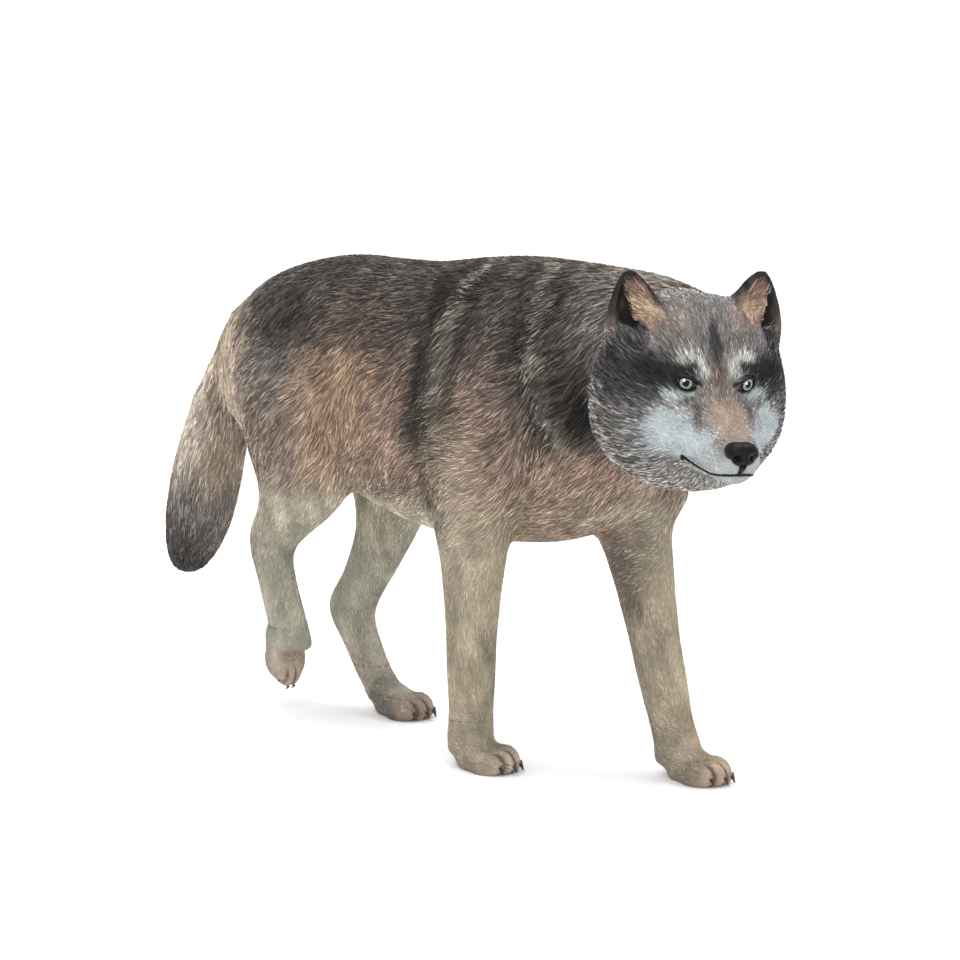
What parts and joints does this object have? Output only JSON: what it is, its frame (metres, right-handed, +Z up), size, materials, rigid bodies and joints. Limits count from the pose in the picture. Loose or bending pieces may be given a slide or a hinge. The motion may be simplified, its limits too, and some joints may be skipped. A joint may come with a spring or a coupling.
{
  "type": "wolf figurine",
  "caption": "Walking wolf figurine with one hind paw lifted and its head turned aside, painted fur, bushy hanging tail and flat paw soles.",
  "frame": {"origin": "on the ground plane under the middle of the bounding box", "axes": "the wolf walks towards -Y, its left side is on +X, +Z is up"},
  "size_m": [0.0576, 0.2406, 0.1391],
  "materials": {
    "painted_coat": "hand painted, satin grey-brown fur"
  },
  "bodies": {
    "root": {"wolf_casting": "painted_coat"}
  },
  "joints": []
}
